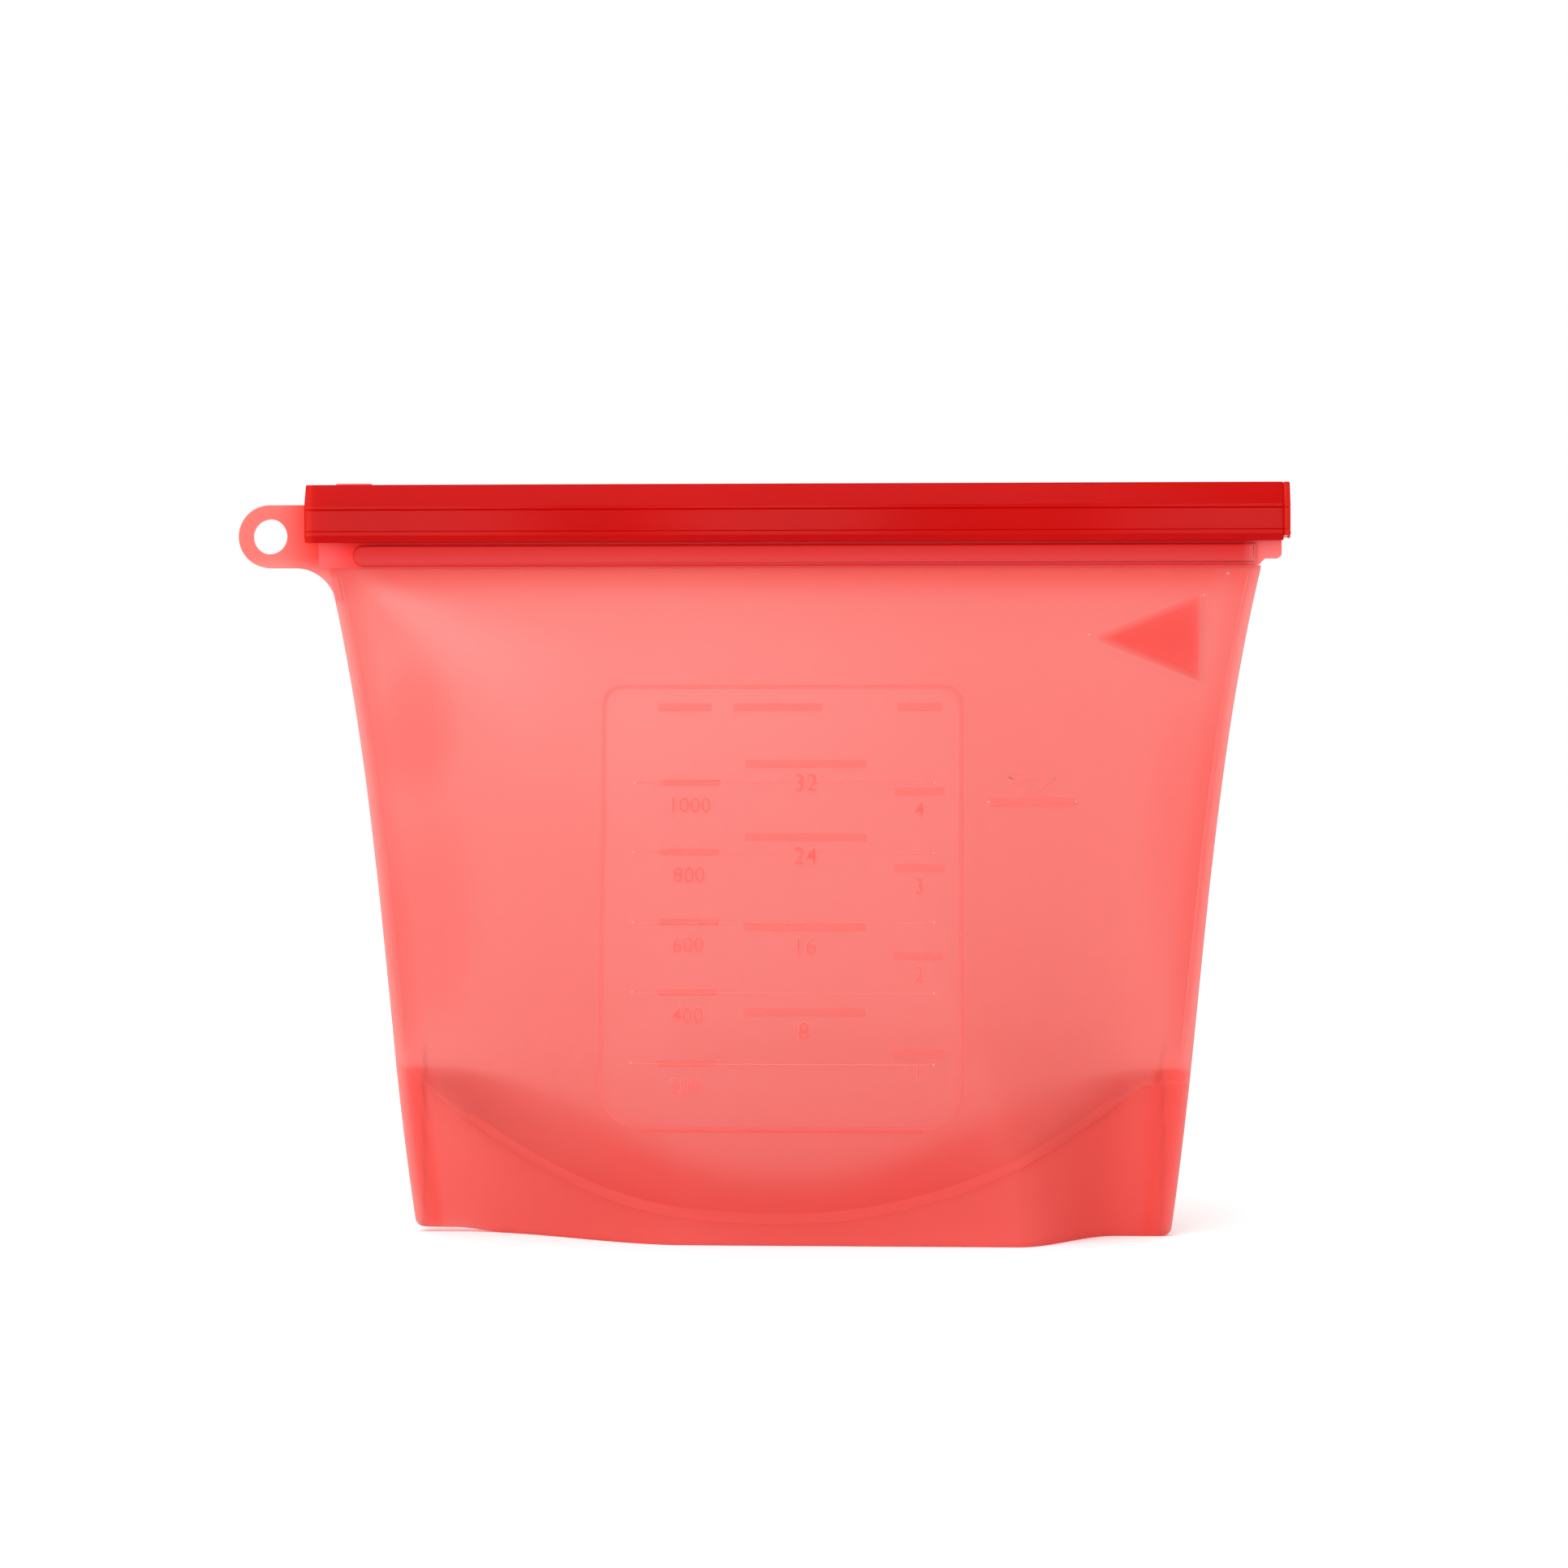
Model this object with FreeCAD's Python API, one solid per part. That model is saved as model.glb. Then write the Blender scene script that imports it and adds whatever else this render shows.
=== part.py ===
import FreeCAD, Part
import math
import os

from FreeCAD import Vector

# Reusable silicone food bag: a stand-up pouch, closed by a stiff bar that slides along its mouth.
# Millimetres. X runs along the mouth, Y from front to back, and Z up from the surface it stands on.
# Every X below is measured from the pouch's own middle line. At the end all pieces are shifted
# along X, so that the origin is the middle of the whole object's footprint.

# Outline of the pouch, seen from the front.
foot_half_width = 87.0
flare_height = 150.0
flare_linear = 22.5
flare_square = -19.6
flare_cube = 16.9
mouth_z = 154.0

# Sheets.
wall_thickness = 1.0
gusset_thickness = 0.9
sheet_gap = 0.2
middle_gap = 0.1
seam_width = 4.0

# How the foot stands open. Rises are fractions of the distance from the middle to a side seam.
foot_half_depth = 22.5
climb_power = 1.4
corner_flat = 0.10
left_rise = 0.63
right_rise_foot = 0.27
right_rise_top = 0.63
rise_spread_z = 90.0

# Folded base panel: heights of its weld to the walls and of its fold, in the middle and at the sides.
weld_middle_z = 5.4
weld_side_gain = 29.6
weld_power = 2.5
weld_right_power = 2.0
weld_right_spread = 1.06
fold_middle_z = 13.5
fold_side_z = 38.0
fold_flat_half = 4.0
fold_rise_length = 78.0
dome_power = 1.25
room_fade_z = 12.0

# Lips: the two thick strips at the mouth, each with a bead that the bar hooks under.
lip_left_x = -110.0
lip_right_x = 112.6
lip_top_z = 170.0
lip_thickness = 1.5
bead_thickness = 2.6
bead_bottom_z = 163.2
bead_shoulder_z = 167.2
bead_bevel = 0.4
lip_step_x = 107.1
lip_step = 1.8
lip_corner_radius = 1.1

# Seal ribs along the outside of the lips, just under the bar.
rib_left_x = -101.9
rib_right_x = 106.8
rib_bottom_z = 154.3
rib_top_z = 159.3
rib_height = 1.1
rib_edge_radius = 0.45

# Hang tab, an eye out of the left end of the mouth.
tab_centre_x = -121.5
tab_centre_z = 161.4
tab_radius = 7.3
tab_hole_radius = 4.1
tab_half_thickness = 1.5
tab_fillet_radius = 7.0
tab_side_gap = 0.1
tab_tip_angle = 0.25

# Pull tab, out of the back lip and up behind the bar.
pull_left_x = -107.2
pull_right_x = -98.6
pull_top_z = 174.1
pull_foot_z = 157.2
pull_thickness = 1.3
pull_back_y = 6.5
pull_corner_radius = 1.2

# Raised arrow on the front wall. It points the way the bar closes.
arrow_tip_x = 69.0
arrow_back_x = 94.0
arrow_middle_z = 137.5
arrow_half_height = 10.0
arrow_tip_share = 0.06
arrow_thin = 0.3
arrow_thick = 1.3

# Slide bar: a C-shaped channel, open at its left end and closed by a wall at its right end.
bar_left_x = -112.9
bar_right_x = 112.9
bar_bottom_z = 159.8
bar_bevel_z = 161.3
bar_facet_z = 168.2
bar_top_z = 173.3
bar_half_depth = 4.6
bar_top_half_depth = 2.2
bar_foot_half_depth = 3.7
bar_wall = 1.3
bar_slot_half_width = 1.9
jaw_height = 1.3
jaw_slope = 0.7
end_cap_thickness = 1.5
end_cap_bottom_z = 160.9

columns = 71
rows = 26
gusset_stations = 47
gusset_arc_steps = 10
arrow_steps = 5


def smooth_step(share):
    share = min(max(share, 0.0), 1.0)
    return share * share * (3.0 - 2.0 * share)


def half_width(z):
    """Distance from the middle line to the side edge of the pouch."""
    rise = z / flare_height
    return foot_half_width + flare_linear * rise + flare_square * rise ** 2 + flare_cube * rise ** 3


def wall_face_y(x, z):
    """Distance of a wall's outer face from the middle plane."""
    share = x / (half_width(z) - seam_width)
    spread = smooth_step(z / rise_spread_z)
    right_rise = right_rise_foot + (right_rise_top - right_rise_foot) * spread
    from_left = smooth_step((share + 1.0 - corner_flat) / left_rise)
    from_right = smooth_step((1.0 - corner_flat - share) / right_rise)
    climb = (1.0 - z / mouth_z) ** climb_power
    gusset_room = gusset_thickness + 2.0 * sheet_gap
    room_left = 1.0 - smooth_step((z - fold_side_z) / room_fade_z)
    closed = middle_gap + wall_thickness + gusset_room * room_left
    return closed + foot_half_depth * climb * from_left * from_right


def wall_inside_y(x, z):
    """Distance of a wall's inner face from the middle plane, one thickness in along the normal."""
    step = 0.5
    low_z = max(z - step, 0.0)
    high_z = min(z + step, mouth_z)
    slope_x = (wall_face_y(x + step, z) - wall_face_y(x - step, z)) / (2.0 * step)
    slope_z = (wall_face_y(x, high_z) - wall_face_y(x, low_z)) / (high_z - low_z)
    inside = wall_face_y(x, z) - wall_thickness * math.sqrt(1.0 + slope_x ** 2 + slope_z ** 2)
    return max(inside, middle_gap)


def curve_through(points):
    """Cubic curve through evenly numbered points."""
    curve = Part.BSplineCurve()
    curve.interpolate(Points=points, Parameters=[float(number) for number in range(len(points))])
    return curve


def grid_face(points):
    """Smooth face through a grid of points, first along its lines and then across them."""
    lines = [curve_through(line) for line in points]
    pole_lines = zip(*[line.getPoles() for line in lines])
    crossings = [curve_through(list(poles)) for poles in pole_lines]
    surface = Part.BSplineSurface()
    surface.buildFromPolesMultsKnots(
        [list(poles) for poles in zip(*[crossing.getPoles() for crossing in crossings])],
        crossings[0].getMultiplicities(),
        lines[0].getMultiplicities(),
        crossings[0].getKnots(),
        lines[0].getKnots(),
        False,
        False,
        crossings[0].Degree,
        lines[0].Degree,
    )
    return surface.toShape()


def rim_face(outer_edge, inner_edge):
    """Narrow face that closes a sheet along one edge: a true plane wherever the edge is flat."""
    ruled = Part.makeRuledSurface(outer_edge, inner_edge)
    if ruled.findPlane() is None:
        return ruled
    return Part.Face(Part.Wire(Part.__sortEdges__(ruled.Edges)))


def solid_between(outer, inner):
    """Closed solid between two grids of points that match one to one."""
    outer_face = grid_face(outer)
    inner_face = grid_face(inner)
    faces = [outer_face, inner_face]
    for outer_edge, inner_edge in zip(outer_face.Edges, inner_face.Edges):
        faces.append(rim_face(outer_edge, inner_edge))
    shell = Part.makeShell(faces)
    shell.sewShape()
    solid = Part.makeSolid(shell)
    if solid.Volume < 0.0:
        solid.reverse()
    return solid


def outline_solid(points, direction, depth):
    """Straight extrusion of a closed outline. An entry is a corner, or an arc's (through, end) pair."""
    edges = []
    start = points[0]
    for entry in points[1:] + [points[0]]:
        if isinstance(entry, tuple):
            edges.append(Part.Arc(start, entry[0], entry[1]).toShape())
            start = entry[1]
        elif entry != start:
            edges.append(Part.LineSegment(start, entry).toShape())
            start = entry
    return Part.Face(Part.Wire(edges)).extrude(direction * depth)


def front_wall():
    """Curved sheet from the flat foot that it stands on up to the mouth."""
    outer = []
    inner = []
    for row in range(rows):
        z = mouth_z * row / (rows - 1)
        outer_row = []
        inner_row = []
        for column in range(columns):
            x = half_width(z) * (2.0 * column / (columns - 1) - 1.0)
            outer_row.append(Vector(x, -wall_face_y(x, z), z))
            inner_row.append(Vector(x, -wall_inside_y(x, z), z))
        outer.append(outer_row)
        inner.append(inner_row)
    return solid_between(outer, inner)


def weld_height(x):
    """Height of the folded panel's weld. It climbs sooner on the right, where the walls turn in sharply."""
    spread = weld_right_spread if x > 0.0 else 1.0
    power = weld_right_power if x > 0.0 else weld_power
    share = min(spread * abs(x) / (foot_half_width - seam_width / 4.0), 1.0)
    return weld_middle_z + weld_side_gain * share ** power


def gusset_section(x):
    """Closed outline of the folded base panel at one place along X: an arch of even thickness."""
    weld_z = weld_height(x)
    fold_share = smooth_step((abs(x) - fold_flat_half) / fold_rise_length)
    fold_z = fold_middle_z + (fold_side_z - fold_middle_z) * fold_share
    outer_reach = wall_inside_y(x, weld_z) - sheet_gap
    upper = []
    lower = []
    for step in range(gusset_arc_steps + 1):
        turn = math.pi * step / gusset_arc_steps
        sideways = -math.copysign(abs(math.cos(turn)) ** dome_power, math.cos(turn))
        upwards = abs(math.sin(turn)) ** dome_power
        upper_height = fold_z - weld_z
        lower_height = upper_height - gusset_thickness
        lower_reach = outer_reach - gusset_thickness
        upper.append(Vector(x, sideways * outer_reach, weld_z + upwards * upper_height))
        lower.append(Vector(x, sideways * lower_reach, weld_z + upwards * lower_height))
    outline = upper + lower[::-1]
    return Part.makePolygon(outline + [outline[0]])


def base_gusset():
    """Base panel, folded upwards between the walls and welded to them along an arc."""
    end_x = foot_half_width - seam_width / 2.0
    spacing = 2.0 * end_x / (gusset_stations - 1)
    sections = [gusset_section(-end_x + spacing * station) for station in range(gusset_stations)]
    return Part.makeLoft(sections, True, False).Solids[0]


def front_lip():
    """Flat strip at the mouth, with its bead along the top."""
    corner = lip_corner_radius
    bottom_z = mouth_z + lip_step
    low_right = Vector(lip_right_x - corner, 0, bottom_z)
    bend = corner * math.sqrt(0.5)
    through = Vector(lip_right_x - corner + bend, 0, bottom_z + corner - bend)
    outline = [
        Vector(lip_left_x, 0, mouth_z),
        Vector(lip_step_x, 0, mouth_z),
        Vector(lip_step_x + lip_step, 0, bottom_z),
        low_right,
        (through, Vector(lip_right_x, 0, bottom_z + corner)),
        Vector(lip_right_x, 0, lip_top_z),
        Vector(lip_left_x, 0, lip_top_z),
    ]
    web = outline_solid(outline, Vector(0, -1, 0), lip_thickness)
    bead_outline = [
        Vector(lip_left_x, -lip_thickness, bead_bottom_z),
        Vector(lip_left_x, -bead_thickness + bead_bevel, bead_bottom_z),
        Vector(lip_left_x, -bead_thickness, bead_bottom_z + bead_bevel),
        Vector(lip_left_x, -bead_thickness, bead_shoulder_z),
        Vector(lip_left_x, -lip_thickness, lip_top_z),
    ]
    bead = outline_solid(bead_outline, Vector(1, 0, 0), lip_right_x - lip_left_x)
    lip = web.fuse(bead).removeSplitter().Solids[0]
    return lip.translated(Vector(0, -middle_gap, 0))


def seal_rib(left_x):
    """Rounded rib on the outside of the front lip. Its left end is a half circle."""
    radius = (rib_top_z - rib_bottom_z) / 2.0
    face_y = -middle_gap - lip_thickness
    centre_z = rib_bottom_z + radius
    low_left = Vector(left_x + radius, face_y, rib_bottom_z)
    outline = [
        low_left,
        Vector(rib_right_x, face_y, rib_bottom_z),
        Vector(rib_right_x, face_y, rib_top_z),
        Vector(left_x + radius, face_y, rib_top_z),
        (Vector(left_x, face_y, centre_z), low_left),
    ]
    rib = outline_solid(outline, Vector(0, -1, 0), rib_height)
    outside_y = face_y - rib_height
    rim = [edge for edge in rib.Edges if abs(edge.BoundBox.YMax - outside_y) < 0.01]
    return rib.makeFillet(rib_edge_radius, rim).Solids[0]


def hang_tab():
    """Flat eye with a round hole, and the web that curves down from it into the pouch's side."""
    front_y = -tab_half_thickness
    top_z = tab_centre_z + tab_radius
    bottom_z = tab_centre_z - tab_radius
    side_x = -half_width(mouth_z) - tab_side_gap
    radius = tab_fillet_radius
    lean = math.atan((half_width(mouth_z) - half_width(mouth_z - radius)) / radius)
    fillet_z = bottom_z - radius
    touch_z = fillet_z + radius * math.sin(lean)
    fillet_x = -half_width(touch_z) - tab_side_gap - radius * math.cos(lean)
    last = lean + tab_tip_angle
    halfway = (last + math.pi / 2.0) / 2.0
    tip_x = fillet_x + radius * math.cos(last)
    tip_z = fillet_z + radius * math.sin(last)
    outline = [
        Vector(lip_left_x, front_y, top_z),
        Vector(tab_centre_x, front_y, top_z),
        (
            Vector(tab_centre_x - tab_radius, front_y, tab_centre_z),
            Vector(tab_centre_x, front_y, bottom_z),
        ),
        Vector(fillet_x, front_y, bottom_z),
        (
            Vector(fillet_x + radius * math.cos(halfway), front_y, fillet_z + radius * math.sin(halfway)),
            Vector(tip_x, front_y, tip_z),
        ),
        Vector(-half_width(tip_z) - tab_side_gap, front_y, tip_z),
        Vector(side_x, front_y, mouth_z),
        Vector(lip_left_x, front_y, mouth_z),
    ]
    thickness = 2.0 * tab_half_thickness
    tab = outline_solid(outline, Vector(0, 1, 0), thickness)
    hole_centre = Vector(tab_centre_x, front_y, tab_centre_z)
    hole = Part.makeCylinder(tab_hole_radius, thickness, hole_centre, Vector(0, 1, 0))
    return tab.cut(hole).Solids[0]


def pull_tab():
    """Tab that leaves the back lip under the bar and stands up behind it."""
    root_y = middle_gap + lip_thickness
    inside_y = pull_back_y - pull_thickness
    outline = [
        Vector(pull_left_x, root_y, pull_foot_z),
        Vector(pull_left_x, pull_back_y, pull_foot_z),
        Vector(pull_left_x, pull_back_y, pull_top_z),
        Vector(pull_left_x, inside_y, pull_top_z),
        Vector(pull_left_x, inside_y, pull_foot_z + pull_thickness),
        Vector(pull_left_x, root_y, pull_foot_z + pull_thickness),
    ]
    tab = outline_solid(outline, Vector(1, 0, 0), pull_right_x - pull_left_x)
    corners = [
        edge
        for edge in tab.Edges
        if edge.BoundBox.YLength > 0.5 and edge.BoundBox.ZMin > pull_top_z - 0.01
    ]
    return tab.makeFillet(pull_corner_radius, corners).Solids[0]


def slide_arrow():
    """Wedge on the front wall, thin at its tip on the left and thick at its straight right side."""
    outer = []
    inner = []
    for column in range(arrow_steps + 1):
        share = arrow_tip_share + (1.0 - arrow_tip_share) * column / arrow_steps
        x = arrow_tip_x + (arrow_back_x - arrow_tip_x) * share
        height = arrow_thin + (arrow_thick - arrow_thin) * share
        outer_line = []
        inner_line = []
        for row in range(arrow_steps + 1):
            across = 2.0 * row / arrow_steps - 1.0
            z = arrow_middle_z + arrow_half_height * share * across
            base_y = -wall_face_y(x, z) - middle_gap
            outer_line.append(Vector(x, base_y - height, z))
            inner_line.append(Vector(x, base_y, z))
        outer.append(outer_line)
        inner.append(inner_line)
    return solid_between(outer, inner)


def bar_outer_points(x, bottom_z):
    """Outer outline of the slide bar, as seen from its end, from the front foot over the top."""
    front = [
        Vector(x, -bar_foot_half_depth, bottom_z),
        Vector(x, -bar_half_depth, max(bar_bevel_z, bottom_z + 0.5)),
        Vector(x, -bar_half_depth, bar_facet_z),
        Vector(x, -bar_top_half_depth, bar_top_z),
    ]
    back = [Vector(x, -point.y, point.z) for point in reversed(front)]
    return front + back


def clamp_bar():
    """Channel with two inward jaws that hook under the lips' beads."""
    jaw_top_z = bar_bottom_z + jaw_height
    inner_half = bar_half_depth - bar_wall
    inner_top_half = bar_top_half_depth - bar_wall / 2.0
    inside_front = [
        Vector(bar_left_x, -bar_slot_half_width, bar_bottom_z),
        Vector(bar_left_x, -bar_slot_half_width, jaw_top_z),
        Vector(bar_left_x, -inner_half, jaw_top_z + jaw_slope),
        Vector(bar_left_x, -inner_half, bar_facet_z - bar_wall / 3.0),
        Vector(bar_left_x, -inner_top_half, bar_top_z - bar_wall),
    ]
    inside_back = [Vector(point.x, -point.y, point.z) for point in inside_front]
    outline = bar_outer_points(bar_left_x, bar_bottom_z) + inside_back + inside_front[::-1]
    return outline_solid(outline, Vector(1, 0, 0), bar_right_x - bar_left_x)


def clamp_end_cap():
    """End wall of the bar, which stops it against the end of the lips."""
    outline = bar_outer_points(bar_right_x, end_cap_bottom_z)
    return outline_solid(outline, Vector(1, 0, 0), end_cap_thickness)


def mirrored(shape):
    """The same piece on the back of the bag."""
    return shape.mirror(Vector(0, 0, 0), Vector(0, 1, 0))


def main():
    wall = front_wall()
    lip = front_lip()
    pieces = {
        "front_wall": wall,
        "back_wall": mirrored(wall),
        "base_gusset": base_gusset(),
        "front_lip": lip,
        "back_lip": mirrored(lip),
        "front_seal_rib": seal_rib(rib_left_x),
        "back_seal_rib": mirrored(seal_rib(pull_right_x + rib_height)),
        "hang_tab": hang_tab(),
        "pull_tab": pull_tab(),
        "slide_arrow": slide_arrow(),
        "clamp_bar": clamp_bar(),
        "clamp_end_cap": clamp_end_cap(),
    }
    left_end = tab_centre_x - tab_radius
    right_end = bar_right_x + end_cap_thickness
    to_middle = Vector(-(left_end + right_end) / 2.0, 0, 0)
    os.makedirs("parts", exist_ok=True)
    for name, shape in pieces.items():
        placed = shape.translated(to_middle)
        placed.exportStep("parts/" + name + ".step")
        box = placed.BoundBox
        print(
            name, placed.ShapeType, placed.isValid(), round(placed.Volume, 1),
            [round(value, 2) for value in (box.XMin, box.YMin, box.ZMin, box.XMax, box.YMax, box.ZMax)],
        )


main()
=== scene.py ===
import math

import bmesh
import bpy
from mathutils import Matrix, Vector
from mathutils.geometry import tessellate_polygon


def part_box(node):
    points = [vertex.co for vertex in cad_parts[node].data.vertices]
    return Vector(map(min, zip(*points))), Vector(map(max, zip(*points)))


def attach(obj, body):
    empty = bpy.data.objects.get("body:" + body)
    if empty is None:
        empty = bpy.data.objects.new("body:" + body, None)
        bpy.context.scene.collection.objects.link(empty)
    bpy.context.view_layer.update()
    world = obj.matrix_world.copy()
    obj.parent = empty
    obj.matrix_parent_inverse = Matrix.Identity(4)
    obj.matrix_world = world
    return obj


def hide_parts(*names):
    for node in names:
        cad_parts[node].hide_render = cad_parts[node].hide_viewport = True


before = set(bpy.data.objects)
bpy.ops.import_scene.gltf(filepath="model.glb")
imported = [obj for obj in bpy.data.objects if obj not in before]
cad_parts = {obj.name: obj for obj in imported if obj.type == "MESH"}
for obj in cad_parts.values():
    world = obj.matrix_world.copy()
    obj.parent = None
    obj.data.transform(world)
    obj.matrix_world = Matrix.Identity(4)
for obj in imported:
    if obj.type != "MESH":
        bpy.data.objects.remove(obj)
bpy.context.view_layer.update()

# Every length is in millimetres unless a comment says otherwise, and X starts at the pouch's middle line.
MM = 0.001
WALL_LOW, WALL_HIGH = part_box("front_wall")
MIDDLE_X = (WALL_LOW.x + WALL_HIGH.x) / 2.0

# The pouch, with the same driving sizes as its CAD solids.
MOUTH_Z = WALL_HIGH.z / MM
FLARE_HEIGHT = 150.0
FOOT_HALF_WIDTH = 87.0
FLARE = (22.5, -19.6, 16.9)
WALL_THICKNESS = 1.0
GUSSET_THICKNESS = 0.9
SHEET_GAP = 0.2
MIDDLE_GAP = 0.1
LIP_THICKNESS = 1.5
INTO_LIP_HEIGHT = 4.5
SEAM_WIDTH = 4.0
FOOT_HALF_DEPTH = 22.5
CLIMB_POWER = 1.4
CORNER_FLAT = 0.10
LEFT_RISE = 0.63
RIGHT_RISE_FOOT = 0.27
RIGHT_RISE_TOP = 0.63
RISE_SPREAD_Z = 90.0
WELD_MIDDLE_Z = 5.4
WELD_SIDE_GAIN = 29.6
WELD_POWER = 2.5
WELD_RIGHT_POWER = 2.0
WELD_RIGHT_SPREAD = 1.06
FOLD_MIDDLE_Z = 13.5
FOLD_SIDE_Z = 38.0
FOLD_FLAT_HALF = 4.0
FOLD_RISE_LENGTH = 78.0
DOME_POWER = 1.25
ROOM_FADE_Z = 12.0

# The sheets' meshes.
WALL_LINES = 121
WALL_COLUMNS = 181
GUSSET_STATIONS = 161
DOME_STEPS = 44
RIM_BULGE = 0.25
SHARP_ANGLE = math.radians(40.0)

# The foot's corners are round, and the left one stands a little off the floor.
SEAM_START_X = FOOT_HALF_WIDTH - SEAM_WIDTH / 2.0 + 0.4
FOOT_CORNER = 1.6
FOOT_CORNER_LINES = 6
LEFT_LIFT = 1.1
LIFT_END_X = -66.0
LIFT_LENGTH = 12.0
LIFT_FADE_Z = 34.0

# The mouth: lips, seal ribs and the two tabs. A part is sunk by its SINK into the one that carries it.
LIP_STEP_X = 107.1
LIP_STEP = 1.8
LIP_CORNER = 1.1
LIP_OVERLAP = 0.05
BEAD_BOTTOM_Z = 163.2
BEAD_SHOULDER_Z = 167.2
BEAD_SINK = 0.3
RIB_SINK = 0.45
RIB_ROUNDING = 0.75
TAB_RADIUS = 7.3
TAB_HOLE_RADIUS = 4.1
TAB_FILLET_RADIUS = 10.0
TAB_OVERLAP = 1.4
PULL_TAB_THICKNESS = 1.3

# The wedge on the front wall. Its tip is blunt, and its two slanted sides slope down to the wall.
ARROW_STEPS = 24
ARROW_TIP_SHARE = 0.06
ARROW_EDGE_RISE = 0.2
ARROW_RISE = 1.0
ARROW_SLOPE = 2.4
ARROW_GAP = 0.02

# Raised lines on the walls, as (across, height) shares of their width and height.
RIDGE_PROFILE = ((-0.5, 0.0), (-0.34, 0.45), (-0.16, 0.9), (0.16, 0.9), (0.34, 0.45), (0.5, 0.0))
RIDGE_SINK = 0.03
RIDGE_END_RISE = 0.01
WELD_STEPS = 120
WELD_BEAD_REACH = FOOT_HALF_WIDTH - 3.0 * SEAM_WIDTH
WELD_BEAD_RISE_Z = 0.6
SEAM_STEPS = 60
SEAM_INSET = 2.3
SEAM_LOW_Z = FOLD_SIDE_Z + 4.0
SEAM_HIGH_Z = MOUTH_Z - 2.0

# Dots left by the mould, as (name, x, z, size).
MOULD_PIPS = (
    ("corner_pip", 100.3, 152.3, 0.9),
    ("arrow_tip_pip", 68.6, 138.3, 0.9),
    ("arrow_top_pip", 94.8, 147.4, 0.8),
)

# The measuring panel on the front wall, which the wall's colour follows too.
PANEL_MIDDLE_X = -2.0
PANEL_HALF_WIDTH = 41.2
PANEL_LOW_Z = 26.0
PANEL_HIGH_Z = 126.3
PANEL_CORNER = 8.5
PANEL_TOP_CORNER = 4.0
DASH_WIDTH = 1.9
DASH_HEIGHT = 0.12
DASH_TIP = 0.6
LINE_SPAN = (-36.0, 33.0)
LINE_ROWS = [40.4 + 15.95 * number for number in range(5)]
HEAD_SPANS = ((-30.7, -18.3), (-13.3, 7.3), (24.5, 34.7))
HEAD_Z = 121.6
FILL_SPAN = (45.5, 65.6)
FILL_Z = 99.7
FILL_TRIANGLE = ((50.0, 105.5), (61.0, 105.5), (55.5, 101.6))

# The scale's columns, as scale_column() takes them.
SCALE_COLUMNS = (
    ("left", (-30.0, -16.3), 1.5, LINE_ROWS, 200, -23.2, 6.8, 5.0),
    ("middle", (-10.4, 17.5), DASH_WIDTH, (51.9, 71.2, 91.7, 108.5), 8, 3.5, 6.2, 5.8),
    ("right", (23.8, 35.4), DASH_WIDTH, (42.8, 64.7, 84.7, 102.2), 1, 29.6, 5.8, 5.2),
)

# The slide bar's section. A groove is (distance below the top, depth), and a bevel (across, up).
BAR_FOOT_BEVEL = (0.9, 1.5)
BAR_TOP_BEVEL = (2.4, 5.1)
BAR_GROOVES = ((11.0, 0.14), (6.0, 0.22))
BAR_WALL = 1.3
BAR_SLOT_HALF = 1.9
BAR_HOOK_HEIGHT = 2.0
BAR_INSIDE_SHOULDER = 5.5
BAR_INSIDE_TOP_HALF = 1.55
BAR_FLAT_SUPPORT = 0.12

# Silicone's own colours, and the tints of the light that passes through it. PALE_FRONT and PALE_THROUGH are
# what the lighter tones, mostly painted light, mix towards.
FRONT_COLOUR = (1.0, 0.25, 0.22)
PALE_FRONT = (1.0, 0.45, 0.44)
THROUGH_COLOUR = (1.0, 0.775, 0.762)
PALE_THROUGH = (1.0, 0.93, 0.92)
SILICONE_IOR = 1.41
BAR_IOR = 1.49

# Patches of painted shade and painted light on the wall, as (weight, middle, radii), and the painted
# highlight along the stretched fold at the mouth's left corner.
PAINTED_SHADE_PATCHES = (
    (0.24, (-87.0, 116.0), (11.0, 20.0)),
    (0.16, (-84.0, 74.0), (14.0, 32.0)),
    (0.18, (94.0, 88.0), (16.0, 44.0)),
)
PAINTED_LIGHT_PATCHES = ((0.07, (-30.0, 128.0), (70.0, 40.0)),)
FAN_START = (-104.0, 153.5)
FAN_DIRECTION = (0.86, -0.51)

# The studio. Angles are in degrees, and lengths in metres but for the camera's target.
# A soft box is (name, x, width, radiance).
CAMERA_AZIMUTH = 3.0
CAMERA_ELEVATION = 0.4
CAMERA_DISTANCE = 0.9
CAMERA_LENS = 89.3
CAMERA_TARGET = (-1.8, 0.0, 103.9)
WORLD_LIGHT = 1.02
KEY_DIRECTION = (-0.50, -0.55, 0.80)
KEY_STRENGTH = 1.4
KEY_SPREAD = 60.0
SOFT_BOXES = (
    ("left_box", -0.27, 0.17, 3.8),
    ("middle_box", -0.055, 0.10, 3.8),
    ("right_box", 0.19, 0.13, 3.4),
)
SOFT_BOX_Y = -1.1
SOFT_BOX_Z = 0.25
SOFT_BOX_HEIGHT = 0.5
SOFT_BOX_TARGET_Z = 0.2
FLOOR_HALF_SIZE = 3.0


def from_box(node):
    """A CAD node's box in millimetres from the pouch's middle line."""
    low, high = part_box(node)
    shift = Vector((MIDDLE_X, 0.0, 0.0))
    return (low - shift) / MM, (high - shift) / MM


def to_row(point):
    """A point of the row frame, in metres, from one in millimetres from the pouch's middle line."""
    x, y, z = point
    return (MIDDLE_X + x * MM, y * MM, z * MM)


# Shape of the sheets.


def smooth_step(share):
    share = min(max(share, 0.0), 1.0)
    return share * share * (3.0 - 2.0 * share)


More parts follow.
